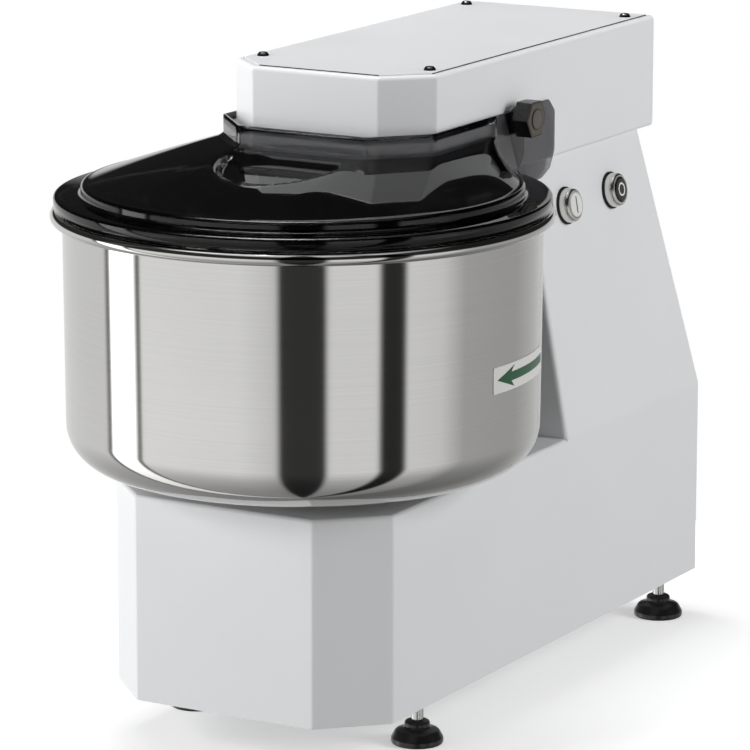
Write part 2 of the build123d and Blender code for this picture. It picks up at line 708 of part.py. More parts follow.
def gearbox_lid():
    lid = prism(gearbox_plan(), BOX_TOP - 10, BOX_TOP)
    lid -= disc(26, 150, 200, 0, MAIN_Y)
    lid -= disc(17.5, 150, BOX_TOP - 2, MID_X, MID_Y)
    return lid - disc(17.5, 150, 200, 0, MOTOR_Y)


def drive_bearings():
    """Bearings of the upright shaft, the intermediate shaft and the motor's pinion end."""
    rings = []
    for low in (BOX_BOTTOM, BOX_TOP - 10):
        rings += bearing(12.5, 26, low, low + 10, 0, MAIN_Y)
    rings += bearing(12.5, 26, 410, 424, 0, MAIN_Y)
    rings += bearing(7.5, 17.5, BOX_BOTTOM + 2.5, BOX_BOTTOM + 11.5, MID_X, MID_Y)
    rings += bearing(7.5, 17.5, BOX_TOP - 10, BOX_TOP - 2.5, MID_X, MID_Y)
    rings += bearing(7.5, 17.5, BOX_TOP - 10, BOX_TOP, 0, MOTOR_Y)
    return rings


def gearbox_stands():
    top_y = MAIN_Y + 58
    low = BASE_BOTTOM + SHEET + 4
    return [disc(6, low, BOX_BOTTOM, x, y) for x, y in ((-63, 222), (-62, top_y), (95, 222), (92, top_y))]


def motor_housing():
    """Finned aluminium motor body, closed at its top."""
    body = ring(MOTOR_R - 5, MOTOR_R - 10, BOX_TOP, 372, 0, MOTOR_Y)
    body += disc(MOTOR_R - 5, 372, 382, 0, MOTOR_Y) - disc(7.6, 360, 379, 0, MOTOR_Y)
    fin = block((MOTOR_R - 6, MOTOR_R), (-1.2, 1.2), (206, 366))
    return body + [Pos(0, MOTOR_Y, 0) * Rot(0, 0, 15 * i) * fin for i in range(24)]


def motor_stator():
    return ring(MOTOR_R - 10, 30, 226, 324, 0, MOTOR_Y)


def run_capacitor():
    """Motor capacitor, clipped upright on the base plate beside the drive."""
    body = disc(20, 44, 112, -86, 185)
    return fillet(body.edges().group_by(Axis.Z)[-1], 3.0)


def control_box():
    """Contactor box on the inside of the column's left side."""
    box = block((-34, 34), (0, 26), (0, 80))
    box = fillet(box.edges().filter_by(Axis.Y), 4.0)
    return Pos(0, 352 + 20, 255) * box


# ---------------------------------------------------------------- lid

def skirt_plan(inset=0.0, rear=HINGE_Y):
    return cut_plan(SKIRT_HALF_W, SKIRT_FRONT, rear, SKIRT_CUT_X, SKIRT_CUT_Y, inset)


def skirt_rear():
    """Where the dome's round foot meets the skirt's straight sides."""
    return math.sqrt((DOME_R - 4) ** 2 - SKIRT_HALF_W ** 2)


def dome_loft(inset, sink):
    """Solid between the dome's round foot and the skirt's foot, corner to corner."""
    rear = skirt_rear()
    corners = [(-SKIRT_HALF_W + SKIRT_CUT_X, SKIRT_FRONT), (SKIRT_HALF_W - SKIRT_CUT_X, SKIRT_FRONT),
               (SKIRT_HALF_W, SKIRT_FRONT + SKIRT_CUT_Y), (SKIRT_HALF_W, rear),
               (-SKIRT_HALF_W, rear), (-SKIRT_HALF_W, SKIRT_FRONT + SKIRT_CUT_Y)]
    foot_r = DOME_R - 4 - inset
    angles = [math.radians(a) for a in (-112, -68, -22)]
    side = math.atan2(rear, SKIRT_HALF_W)
    angles += [side, math.pi - side, math.pi - angles[2]]
    around = [(foot_r * math.cos(a), foot_r * math.sin(a)) for a in angles]
    arcs = []
    for index, start in enumerate(around):
        end = around[(index + 1) % 6]
        sweep_angle = (angles[(index + 1) % 6] - angles[index]) % (2 * math.pi)
        middle = angles[index] + sweep_angle / 2
        arcs.append(ThreePointArc(start, (foot_r * math.cos(middle), foot_r * math.sin(middle)), end))
    foot = Pos(0, 0, DOME_Z - sink) * make_face(arcs)
    top = offset(make_face(Polyline(*corners, close=True)), -inset, kind=Kind.INTERSECTION) \
        if inset else make_face(Polyline(*corners, close=True))
    return loft([foot, Pos(0, 0, SKIRT_BOTTOM - sink) * top], ruled=True)


def lid():
    """Smoked lid: rim flange, low dome, and a skirt that passes round the head."""
    rear = skirt_rear()
    step = ring(DOME_R, DOME_R - 3, LID_FLANGE_Z - LID_T, DOME_Z)
    step = fillet(step.edges().group_by(Axis.Z)[-1].sort_by(SortBy.RADIUS)[-1], 2.6)
    top_ring = ring(DOME_R - 2, DOME_R - 7, DOME_Z - LID_T, DOME_Z)
    dome = dome_loft(0, 0) - dome_loft(LID_T, LID_T)
    skirt = prism(skirt_plan(0, rear + 20), SKIRT_BOTTOM - LID_T, SKIRT_TOP)
    passage = prism(skirt_plan(SKIRT_T, 400), 380, 500)
    body = step + top_ring + dome + skirt - block((-250, 250), (rear, 300), (380, 500))
    flange = ring(LID_FLANGE_R, DOME_R - 3, LID_FLANGE_Z - LID_T, LID_FLANGE_Z)
    flange += ring(LID_FLANGE_R, LID_FLANGE_R - LID_T, LID_LIP_Z, LID_FLANGE_Z)
    flange -= block((-250, 250), (HINGE_Y + 1, 300), (380, 500))
    body = body + flange - passage
    for side in (-1, 1):
        body += lid_arm(side)
    return body


def lid_arm(side):
    """Flat arm that carries the lid back to its hinge, with the web that joins it to the flange."""
    rear = skirt_rear()
    outline = Polyline((60, SKIRT_TOP), (HINGE_Y + 12, SKIRT_TOP), (HINGE_Y + 12, 426),
                       (HINGE_Y + 3, LID_FLANGE_Z - LID_T), (rear - 3, LID_FLANGE_Z - LID_T),
                       (rear - 3, SKIRT_BOTTOM), (60, SKIRT_BOTTOM), close=True)
    face = Plane.YZ * make_face(outline)
    low = SKIRT_HALF_W - SKIRT_T
    arm = Pos(side * (low if side > 0 else SKIRT_HALF_W), 0, 0) * extrude(face, SKIRT_T)
    web = block(sorted((side * low, side * (low + 8))), (rear - 3, rear + 8),
                (LID_FLANGE_Z - LID_T, LID_FLANGE_Z))
    boss = along_hinge(HINGE_BOSS_R, *sorted((side * low, side * SKIRT_HALF_W)))
    return arm + web + boss - along_hinge(PIN_R, *sorted((side * 80, side * 100)))


def side_guards():
    """Fixed smoked plates beside the head, behind the lid's hinge."""
    outline = Polyline((HINGE_Y - 16, SKIRT_TOP), (226, SKIRT_TOP), (236, 452), (236, 420), (228, 407),
                       (214, 401), (198, 400.5), (184, 406), (176, 412), close=True)
    guards = []
    for side in (-1, 1):
        face = Plane.YZ * make_face(outline)
        plate = Pos(GUARD_X if side > 0 else -GUARD_X - GUARD_T, 0, 0) * extrude(face, GUARD_T)
        plate += along_hinge(HINGE_BOSS_R, *sorted((side * GUARD_X, side * (GUARD_X + GUARD_T))))
        guards.append(plate - along_hinge(PIN_R + 2.0, *sorted((side * 80, side * 100))))
    return guards


def along_hinge(radius, x_from, x_to):
    return Pos((x_from + x_to) / 2, HINGE_Y, HINGE_Z) * Rot(0, 90, 0) * Cylinder(radius, x_to - x_from)


def hinge_pins():
    pins = []
    for side in (-1, 1):
        ends = sorted((side * 74, side * 106))
        pins.append(along_hinge(PIN_R, *ends))
    return pins


def hinge_bushes():
    """Nylon bushes in the head's sides that the hinge pins turn in."""
    bushes = []
    for side in (-1, 1):
        barrel = along_hinge(PIN_R + 2.0, *sorted((side * 82.5, side * 90.3)))
        collar = along_hinge(PIN_R + 5.0, *sorted((side * 82.5, side * 85.8)))
        bushes.append(barrel + collar - along_hinge(PIN_R + RUN_FIT, -120, 120))
    return bushes


def hinge_knobs():
    """Hexagonal knobs that clamp the lid's arms to the hinge pins."""
    knobs = []
    for side in (-1, 1):
        body = Pos(0, 0, KNOB_COLLAR) * extrude(RegularPolygon(13.6, 6, major_radius=False), 17 - KNOB_COLLAR)
        body = chamfer(body.edges().group_by(Axis.Z)[-1], 1.2)
        body += disc(9.0, 0, KNOB_COLLAR + 0.1)
        body += Pos(0, 0, 17) * Cylinder(7.5, 0.8, align=(Align.CENTER, Align.CENTER, Align.MIN))
        body -= Cylinder(PIN_R, 26)
        placed = Pos(side * SKIRT_HALF_W, HINGE_Y, HINGE_Z) * Rot(0, side * 90, 0) * Rot(0, 0, 30) * body
        knobs.append(placed)
    return knobs


def interlock_cam():
    """Cam on the right hinge pin that works the lid's safety switch."""
    cam = Circle(12) - Pos(12, 0) * Circle(5)
    body = extrude(cam, 5) - Cylinder(PIN_R, 20)
    return Pos(74, HINGE_Y, HINGE_Z) * Rot(0, 90, 0) * Rot(0, 0, 45) * body


def lid_microswitch():
    body = block((72, 82), (HINGE_Y + 13.5, HINGE_Y + 31), (440, 472))
    return body - [Pos(77, HINGE_Y + 22, z) * Rot(0, 90, 0) * Cylinder(1.6, 20) for z in (447, 465)]


# ---------------------------------------------------------------- buttons

def push_button(y):
    """Button cap on its stem, drawn at rest; pressed, it sinks into its bezel."""
    cap = Pos(0, 0, BUTTON_TRAVEL + 0.5) * Cylinder(CAP_R, CAP_H, align=(Align.CENTER, Align.CENTER, Align.MIN))
    cap = fillet(cap.edges().group_by(Axis.Z)[-1], 1.2)
    stem = Pos(0, 0, -10) * Cylinder(5, 14, align=(Align.CENTER, Align.CENTER, Align.MIN))
    return button_place(y) * (cap + stem)


def button_bezels():
    """Domed chrome bezels, each with a sleeve for the cap and a neck through the panel."""
    bore = CAP_R + 0.4
    with BuildSketch(Plane.XZ) as half:
        with BuildLine():
            Polyline((bore, 1.5), (BEZEL_R, 1.5), (BEZEL_R, 4.0))
            ThreePointArc((BEZEL_R, 4.0), (13.2, 8.0), (11.6, 9.6))
            Polyline((11.6, 9.6), (bore, 9.6), (bore, 1.5))
        make_face()
    body = revolve(half.sketch, Axis.Z) + ring(NECK_R, bore, 0.2, 2.0) + ring(NECK_R, 8.0, -13, 0.3)
    return [button_place(y) * body for y in (START_Y, STOP_Y)]


def button_gaskets():
    return [button_place(y) * Pos(0, 0, 0.75) * (Cylinder(BEZEL_R + 1.2, 1.5) - Cylinder(NECK_R + 0.05, 5))
            for y in (START_Y, STOP_Y)]


def button_lock_nuts():
    nut = Pos(0, 0, -5.8) * (extrude(RegularPolygon(14.5, 6), 3.0) - Cylinder(NECK_R + 0.05, 20))
    return [button_place(y) * nut for y in (START_Y, STOP_Y)]


def contact_blocks():
    return [button_place(y) * Pos(0, 0, -24) * Box(22, 20, 19) for y in (START_Y, STOP_Y)]


# ---------------------------------------------------------------- write every node

NODES = {
    "base_casing": base_casing, "base_plate": base_plate, "foot_lock_nuts": foot_lock_nuts,
    "rear_cover": rear_cover, "cover_screws": cover_screws, "cable_gland": cable_gland,
    "head_shell": head_shell, "head_support_plate": head_support_plate, "head_cover": head_cover,
    "head_bolts": head_bolts, "breaker_bar": breaker_bar, "breaker_bar_nut": breaker_bar_nut,
    "spiral_bearing_housing": spiral_bearing_housing, "spiral_bearings": spiral_bearings,
    "main_bearing_housing": main_bearing_housing, "drive_bearings": drive_bearings,
    "bowl_bearing_housing": bowl_bearing_housing, "bowl_bearings": bowl_bearings,
    "gearbox_housing": gearbox_housing, "gearbox_lid": gearbox_lid, "gearbox_stands": gearbox_stands,
    "motor_housing": motor_housing, "motor_stator": motor_stator, "run_capacitor": run_capacitor,
    "control_box": control_box, "side_guards": side_guards, "hinge_bushes": hinge_bushes,
    "lid_microswitch": lid_microswitch, "button_bezels": button_bezels,
    "button_gaskets": button_gaskets, "button_lock_nuts": button_lock_nuts,
    "contact_blocks": contact_blocks, "bowl": bowl, "bowl_hub": bowl_hub,
    "bowl_hub_bolts": bowl_hub_bolts, "bowl_sprocket": bowl_sprocket,
    "rotation_label": rotation_label, "spiral_hook": spiral_hook, "spiral_shaft": spiral_shaft,
    "spiral_sprocket": spiral_sprocket, "spiral_shaft_nut": spiral_shaft_nut,
    "main_shaft": main_shaft, "upper_drive_sprocket": upper_drive_sprocket,
    "lower_drive_sprocket": lower_drive_sprocket, "second_stage_gear": second_stage_gear,
    "intermediate_shaft": intermediate_shaft, "first_stage_gear": first_stage_gear,
    "motor_rotor": motor_rotor, "lid": lid, "hinge_knobs": hinge_knobs,
    "hinge_pins": hinge_pins, "interlock_cam": interlock_cam,
}

os.makedirs("parts", exist_ok=True)
for node, make in NODES.items():
    save(node, make())
save("lower_chain", chain_links(lower_chain_points(), LOWER_CHAIN_Z))
save("upper_chain", chain_links(upper_chain_points(), UPPER_CHAIN_Z))
save("start_button", push_button(START_Y))
save("stop_button", push_button(STOP_Y))
for name, x, y in (("front_left", -FOOT_X, FOOT_Y[0]), ("front_right", FOOT_X, FOOT_Y[0]),
                   ("rear_left", -FOOT_X, FOOT_Y[1]), ("rear_right", FOOT_X, FOOT_Y[1])):
    save(f"levelling_foot_{name}", levelling_foot(x, y))
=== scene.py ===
import bpy
import bmesh
import json
import math
from mathutils import Matrix, Vector


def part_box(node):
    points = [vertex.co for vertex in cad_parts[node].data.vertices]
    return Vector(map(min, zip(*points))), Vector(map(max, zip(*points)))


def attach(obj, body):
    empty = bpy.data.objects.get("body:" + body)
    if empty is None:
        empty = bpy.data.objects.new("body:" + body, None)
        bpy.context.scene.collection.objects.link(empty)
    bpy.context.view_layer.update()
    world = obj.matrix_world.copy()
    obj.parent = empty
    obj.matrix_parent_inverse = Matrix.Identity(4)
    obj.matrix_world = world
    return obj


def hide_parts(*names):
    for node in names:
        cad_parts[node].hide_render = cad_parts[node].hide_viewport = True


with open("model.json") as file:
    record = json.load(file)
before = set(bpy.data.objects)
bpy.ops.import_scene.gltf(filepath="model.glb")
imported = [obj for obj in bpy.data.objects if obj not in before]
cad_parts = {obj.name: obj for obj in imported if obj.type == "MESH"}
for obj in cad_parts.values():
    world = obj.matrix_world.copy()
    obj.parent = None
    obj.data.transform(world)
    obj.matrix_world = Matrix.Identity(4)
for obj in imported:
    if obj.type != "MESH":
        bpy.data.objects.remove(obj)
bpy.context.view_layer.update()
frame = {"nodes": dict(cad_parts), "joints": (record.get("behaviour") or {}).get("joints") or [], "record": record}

MM = 0.001

# ---------------------------------------------------------------- places read from the frame

bowl_low, bowl_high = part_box("bowl")
label_low, label_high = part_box("rotation_label")

BOWL_Y = (bowl_low.y + bowl_high.y) / 2
RIM_OUT = (bowl_high.x - bowl_low.x) / 2
RIM_BEAD_R = 4.7 * MM
WALL_TOP_R = RIM_OUT - 9.3 * MM
WALL_FOOT_R = RIM_OUT - 10.7 * MM
WALL_LABEL_R = RIM_OUT - 10.05 * MM
WALL_T = 1.5 * MM
BOWL_CORNER_R = 32 * MM
LABEL_TIP_DEG, LABEL_TAIL_DEG = -9, 21

LID_HALF_W = 93 * MM
LID_FRONT_Y = -3.3 * MM
LID_BACK_R = 163 * MM
LID_BACK_Y = math.sqrt(LID_BACK_R ** 2 - LID_HALF_W ** 2)
LID_CUT_X, LID_CUT_Y = 37 * MM, 40 * MM
LID_SHEET = 2.5 * MM
SKIRT_FOOT_Z = 447 * MM
SKIRT_TOP_Z = 462 * MM
ARM_T = 2.4 * MM
GUARD_T = 2 * MM
GUARD_IN_X = 88.3 * MM

CAP_R = 10 * MM
CAP_H = 6.8 * MM
CAP_TOP = 10.3 * MM
CAP_EDGE = 1.2 * MM
BEZEL_R = 13.8 * MM
PRINT_T = 0.12 * MM


def joint_data(name):
    """The frame's own data on one joint."""
    for joint in frame["joints"]:
        if joint["name"] == name:
            return joint
    raise KeyError(name)


HINGE = Vector(joint_data("lid_tilt")["pos_m"])
HINGE_Y = HINGE.y - BOWL_Y
PRESS_AXIS = -Vector(joint_data("start_press")["axis"])


# ---------------------------------------------------------------- material nodes

def new_material(name):
    """A fresh node material; returns it with its node tree and Principled shader."""
    mat = bpy.data.materials.new(name)
    mat.use_nodes = True
    tree = mat.node_tree
    return mat, tree, tree.nodes["Principled BSDF"]


def add(tree, kind, **values):
    """Adds a node; values set its sockets (by name) or its own properties."""
    node = tree.nodes.new(kind)
    for key, value in values.items():
        if key in node.inputs:
            node.inputs[key].default_value = value
        else:
            setattr(node, key, value)
    return node


def noise(tree, scale, detail=3.0, rough=0.5, stretch=(1, 1, 1)):
    """Noise in the object's own metres, so that its grain has a real size."""
    coords = add(tree, "ShaderNodeTexCoord")
    mapping = add(tree, "ShaderNodeMapping")
    mapping.inputs["Scale"].default_value = stretch
    tex = add(tree, "ShaderNodeTexNoise", Scale=scale, Detail=detail, Roughness=rough)
    tree.links.new(coords.outputs["Object"], mapping.inputs["Vector"])
    tree.links.new(mapping.outputs["Vector"], tex.inputs["Vector"])
    return tex.outputs["Fac"]


def ramp(tree, source, low, high, at=(0.3, 0.7)):
    """Maps a grey value to a range of colours."""
    node = tree.nodes.new("ShaderNodeValToRGB")
    node.color_ramp.elements[0].position = at[0]
    node.color_ramp.elements[1].position = at[1]
    node.color_ramp.elements[0].color = low
    node.color_ramp.elements[1].color = high
    tree.links.new(source, node.inputs["Fac"])
    return node.outputs["Color"]


def grey(v):
    """A neutral colour of the given value."""
    return (v, v, v, 1)


def tinted(colour, k):
    """A colour made darker or lighter by a factor."""
    return tuple(min(1.0, c * k) for c in colour) + (1,)


def bump(tree, shader, source, strength, distance):
    """Lets a grey value disturb the shader's normal."""
    node = add(tree, "ShaderNodeBump", Strength=strength, Distance=distance)
    tree.links.new(source, node.inputs["Height"])
    tree.links.new(node.outputs["Normal"], shader.inputs["Normal"])


def surface(name, colour, rough, metal=0.0, grain=1200.0, stretch=(1, 1, 1), vary=0.08,
            depth=0.2, cloud=10.0, specular=0.5):
    """Painted, moulded or metal surface: fine grain in bump and gloss, slow change in colour."""
    mat, tree, shader = new_material(name)
    fine = noise(tree, grain, 3.0, 0.55, stretch)
    slow = noise(tree, cloud, 3.0)
    half = add(tree, "ShaderNodeMath", operation="MULTIPLY")
    half.inputs[1].default_value = 0.5
    mean = add(tree, "ShaderNodeMath", operation="MULTIPLY_ADD")
    mean.inputs[1].default_value = 0.5
    tree.links.new(slow, half.inputs[0])
    tree.links.new(fine, mean.inputs[0])
    tree.links.new(half.outputs["Value"], mean.inputs[2])
    tone = ramp(tree, mean.outputs["Value"], tinted(colour, 1 - vary), tinted(colour, 1 + vary))
    tree.links.new(tone, shader.inputs["Base Color"])
    gloss = ramp(tree, mean.outputs["Value"], grey(rough * 0.82), grey(min(1.0, rough * 1.18)))
    tree.links.new(gloss, shader.inputs["Roughness"])
    shader.inputs["Metallic"].default_value = metal
    shader.inputs["Specular IOR Level"].default_value = specular
    bump(tree, shader, fine, depth, 0.00004)
    return mat


def smoked_sheet(name, tint):
    """Smoked polycarbonate, polished on both faces, slightly wavy from forming."""
    mat, tree, shader = new_material(name)
    wave = noise(tree, 16.0, 2.0)
    shader.inputs["Transmission Weight"].default_value = 1.0
    shader.inputs["IOR"].default_value = 1.42
    tone = ramp(tree, wave, (tint * 0.97, tint * 0.97, tint * 0.99, 1), (tint, tint, tint * 1.03, 1))
    tree.links.new(tone, shader.inputs["Base Color"])
    gloss = ramp(tree, wave, grey(0.015), grey(0.04))
    tree.links.new(gloss, shader.inputs["Roughness"])
    bump(tree, shader, wave, 0.05, 0.0005)
    return mat


white = surface("white_powder_coat", (0.83, 0.838, 0.85), 0.34, 0.0, 1100.0, vary=0.02, depth=0.3, cloud=8.0,
                specular=0.45)
bowl_steel = surface("spun_stainless", (0.61, 0.605, 0.59), 0.075, 1.0, 1.0, (4, 4, 1400), 0.05, 0.10, 6.0)
bar_steel = surface("polished_stainless", (0.62, 0.615, 0.60), 0.2, 1.0, 1.0, (700, 700, 40), 0.06, 0.2)
plain_steel = surface("machined_steel", (0.50, 0.50, 0.50), 0.36, 1.0, 1.0, (40, 40, 1800), 0.1)
zinc = surface("zinc_plated_steel", (0.60, 0.60, 0.58), 0.27, 1.0, 700.0, vary=0.12)
chrome = surface("satin_chrome", (0.74, 0.73, 0.70), 0.24, 1.0, 900.0, vary=0.05)
alloy = surface("cast_aluminium", (0.50, 0.50, 0.51), 0.55, 1.0, 500.0, vary=0.12, depth=0.5)
primer = surface("grey_primer", (0.33, 0.34, 0.35), 0.6, vary=0.1)
knob_black = surface("knob_plastic", (0.016, 0.016, 0.016), 0.3, grain=900.0)
knob_face = surface("knob_face_bronze", (0.115, 0.092, 0.072), 0.42, 0.3, 900.0, vary=0.15)
knob_disc = surface("knob_disc_grey", (0.10, 0.09, 0.08), 0.45, grain=900.0, vary=0.1)
foot_black = surface("foot_plastic", (0.012, 0.012, 0.012), 0.3, grain=1400.0, vary=0.15)
gland_black = surface("black_moulded_plastic", (0.02, 0.02, 0.02), 0.45, grain=1200.0)
rubber = surface("gasket_rubber", (0.012, 0.012, 0.012), 0.7, grain=1500.0, vary=0.2)
nylon = surface("natural_nylon", (0.72, 0.70, 0.64), 0.5, vary=0.04)
motor_paint = surface("motor_enamel", (0.12, 0.14, 0.16), 0.45)
winding = surface("copper_winding", (0.55, 0.27, 0.12), 0.45, 0.8, 600.0)
white_cap = surface("white_button_plastic", (0.80, 0.80, 0.77), 0.28, grain=900.0, vary=0.02, depth=0.08)
black_cap = surface("black_button_plastic", (0.009, 0.009, 0.009), 0.14, grain=900.0, depth=0.05)
ink_black = surface("black_print", (0.012, 0.012, 0.012), 0.5, grain=2000.0)
ink_white = surface("white_print", (0.82, 0.82, 0.80), 0.45, grain=2000.0, vary=0.03)
film = surface("label_film", (0.72, 0.72, 0.70), 0.30, grain=600.0, vary=0.03, depth=0.1)
ink_green = surface("green_print", (0.008, 0.085, 0.03), 0.38, grain=1500.0, vary=0.15)
smoke = smoked_sheet("smoked_polycarbonate", 0.35)
# Darker copy of the same smoked sheet for the dome and flange: painted shade, as the lid is one sheet of one tint.
smoke_painted_dark = smoked_sheet("smoked_polycarbonate_painted_dark", 0.04)
screw_dark = surface("dark_screw_steel", (0.20, 0.20, 0.20), 0.22, 1.0, 900.0, vary=0.15)
edge_seal = surface("cover_edge_seal", (0.006, 0.006, 0.006), 0.6, grain=1500.0)

SLOT_LOOKS = {
    "white_coat": white, "stainless": bar_steel, "steel": plain_steel, "zinc_steel": zinc,
    "bare_plate": primer, "smoked_plastic": smoke, "black_plastic": gland_black,
    "knob_plastic": knob_black, "nylon": nylon, "chrome_trim": chrome, "white_plastic": white_cap,
    "black_gloss": black_cap, "gasket_rubber": rubber, "cast_alloy": alloy, "motor_paint": motor_paint,
    "winding": winding, "foot_plastic": foot_black, "label_film": film,
}

for part in frame["record"]["subparts"]:
    node = frame["nodes"][part["node"]]
    node.data.materials.clear()
    node.data.materials.append(SLOT_LOOKS[part["material_slot"]])
frame["nodes"]["cover_screws"].data.materials[0] = screw_dark


# ---------------------------------------------------------------- mesh helpers

def piece(name, bm, material, body, replaced=(), sharp=35.0):
    """Turns a bmesh into a shown piece that rides on a body."""
    mesh = bpy.data.meshes.new(name)
    bmesh.ops.recalc_face_normals(bm, faces=bm.faces)
    bm.to_mesh(mesh)
    bm.free()
    mesh.shade_smooth()
    mesh.set_sharp_from_angle(angle=math.radians(sharp))
    obj = bpy.data.objects.new(name, mesh)
    bpy.context.scene.collection.objects.link(obj)
    mesh.materials.append(material)
    if replaced:
        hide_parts(*replaced)
    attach(obj, body)
    return obj


def bevelled(obj, width, segments=3, angle=30.0):
    """Rounds the edges of a piece with a modifier."""
    mod = obj.modifiers.new("bevel", "BEVEL")
    mod.width = width
    mod.segments = segments
    mod.limit_method = "ANGLE"
    mod.angle_limit = math.radians(angle)
    mod.harden_normals = True


def rounded_path(points, radii, steps=6):
    """Polyline with its corners rounded; radii gives one radius per point (0 keeps the corner)."""
    out = []
    count = len(points)
    for i, (point, radius) in enumerate(zip(points, radii)):
        here = Vector(point)
        if radius == 0:
            out.append(here)
            continue
        before = (Vector(points[i - 1]) - here).normalized()
        after = (Vector(points[(i + 1) % count]) - here).normalized()
        half = math.acos(max(-1.0, min(1.0, before.dot(after)))) / 2
        reach = radius / math.tan(half)
        centre = here + (before + after).normalized() * (radius / math.sin(half))
        start, end = here + before * reach - centre, here + after * reach - centre
        swing = math.atan2(start.x * end.y - start.y * end.x, start.dot(end))
        for k in range(steps + 1):
            turn = swing * k / steps
            out.append(centre + Matrix.Rotation(turn, 2) @ start)
    return out


def lathe(profile, segments=128, closed=False):
    """Turns a profile of (radius, height) points about Z; a radius of 0 closes to a point."""
    bm = bmesh.new()
    rings = []
    for r, z in profile:
        if r < 1e-7:
            rings.append([bm.verts.new((0, 0, z))])
        else:
            rings.append([bm.verts.new((r * math.cos(a), r * math.sin(a), z))
                          for a in (2 * math.pi * k / segments for k in range(segments))])
    pairs = list(zip(rings, rings[1:]))
    if closed:
        pairs.append((rings[-1], rings[0]))
    for one, two in pairs:
        for k in range(segments):
            n = (k + 1) % segments
            corners = [one[k % len(one)], one[n % len(one)], two[n % len(two)], two[k % len(two)]]
            unique = list(dict.fromkeys(corners))
            if len(unique) > 2:
                bm.faces.new(unique)
    return bm


def moved(bm, matrix):
    """The same bmesh, moved by a matrix."""
    bmesh.ops.transform(bm, matrix=matrix, verts=bm.verts)
    return bm


def raised(place, height):
    """The same place, some way out along its own Z."""
    return place @ Matrix.Translation((0, 0, height))


def plate(outline, thick):
    """Flat plate between z = 0 and z = thick with the given plan."""
    bm = bmesh.new()
    low = [bm.verts.new((p[0], p[1], 0)) for p in outline]
    high = [bm.verts.new((p[0], p[1], thick)) for p in outline]
    bm.faces.new(low)
    bm.faces.new(high)
    for i in range(len(outline)):
        n = (i + 1) % len(outline)
        bm.faces.new((low[i], low[n], high[n], high[i]))
    return bm


def merged(*parts):
    """One bmesh from several."""
    whole = bmesh.new()
    for part in parts:
        mesh = bpy.data.meshes.new("part")
        part.to_mesh(mesh)
        part.free()
        whole.from_mesh(mesh)
        bpy.data.meshes.remove(mesh)
    return whole


def upright(bm, x):
    """Stands a plate drawn in (Y from the bowl's axis, Z) across X, its left face at x."""
    turn = Matrix(((0, 0, 1, 0), (1, 0, 0, BOWL_Y), (0, 1, 0, 0), (0, 0, 0, 1)))
    return moved(moved(bm, turn), Matrix.Translation((x, 0, 0)))


# ---------------------------------------------------------------- bowl

def build_bowl():
    """Spun bowl: flat floor, rounded corner, wall with a slight taper, and a rolled rim."""
    floor = bowl_low.z
    rim_r, rim_z = RIM_OUT - RIM_BEAD_R, bowl_high.z - RIM_BEAD_R
    wall_top = rim_z - 3 * MM
    path = [(0, floor), (WALL_FOOT_R, floor), (WALL_TOP_R, wall_top)]
    outside = rounded_path(path, (0, BOWL_CORNER_R, 0), 20)
    bead = [(rim_r + RIM_BEAD_R * math.cos(a), rim_z + RIM_BEAD_R * math.sin(a))
            for a in (math.radians(d) for d in range(-120, 151, 15))]
    path = [(WALL_TOP_R - WALL_T, wall_top), (WALL_FOOT_R - WALL_T, floor + WALL_T), (0, floor + WALL_T)]
    inside = rounded_path(path, (0, BOWL_CORNER_R - WALL_T, 0), 20)
    bm = lathe(outside + bead + inside, 256)
    moved(bm, Matrix.Translation((0, BOWL_Y, 0)))
    piece("spun_bowl", bm, bowl_steel, "bowl_unit", ("bowl",), 60)


def build_label():
    """Film on the bowl wall with a barbed arrow that points the way the bowl turns."""
    z_mid, half_h = (label_low.z + label_high.z) / 2, (label_high.z - label_low.z) / 2
    tip_a, tail_a = math.radians(LABEL_TIP_DEG), math.radians(LABEL_TAIL_DEG)
    cells = 24

    def wrapped(outline, radius, thick):
        """Flat outline in (arc length, height), cut into strips and bent round the wall."""
        bm = plate(outline, thick)
        for k in range(1, cells):
            cut_at = tip_a * radius + (tail_a - tip_a) * radius * k / cells
            bmesh.ops.bisect_plane(bm, geom=bm.verts[:] + bm.edges[:] + bm.faces[:],
                                   plane_co=(cut_at, 0, 0), plane_no=(1, 0, 0))
        for vert in bm.verts:
            angle, r = vert.co.x / radius, radius + vert.co.z
            vert.co = Vector((r * math.cos(angle), BOWL_Y + r * math.sin(angle), z_mid + vert.co.y))
        return bm

    a, b = tip_a * WALL_LABEL_R, tail_a * WALL_LABEL_R
    sheet = rounded_path([(a, -half_h), (b, -half_h), (b, half_h), (a, half_h)], [1.5 * MM] * 4, 4)
    piece("label_sheet", wrapped(sheet, WALL_LABEL_R + 0.05 * MM, 0.25 * MM), film, "bowl_unit",
          ("rotation_label",))
    tip, tail = a + 4.5 * MM, b - 0.6 * MM
    barb, barb_h = tip + 24 * MM, 8.2 * MM
    neck = barb - 4.5 * MM
    arrow = [(tip, 0), (barb, -barb_h), (neck, -3.4 * MM), (tail, -3.0 * MM),
             (tail, 3.6 * MM), (neck, 3.4 * MM), (barb, barb_h)]
    piece("label_arrow", wrapped(arrow, WALL_LABEL_R + 0.2 * MM, 0.14 * MM), ink_green, "bowl_unit",
          ())


# ---------------------------------------------------------------- lid

def skirt_plan():
    """The skirt's plan from its right end round the front to its left end, in short steps."""
    outline = [(LID_HALF_W, LID_BACK_Y), (LID_HALF_W, LID_FRONT_Y + LID_CUT_Y),
               (LID_HALF_W - LID_CUT_X, LID_FRONT_Y), (-LID_HALF_W + LID_CUT_X, LID_FRONT_Y),
               (-LID_HALF_W, LID_FRONT_Y + LID_CUT_Y), (-LID_HALF_W, LID_BACK_Y)]
    bend, step = 9 * MM, 2.5 * MM
    corners = rounded_path(outline, (0, bend, bend, bend, bend, 0), 8)
    dense = []
    for p, q in zip(corners, corners[1:]):
        steps = max(1, int((q - p).length / step))
        dense += [p.lerp(q, k / steps) for k in range(steps)]
    dense.append(corners[-1])
    return dense


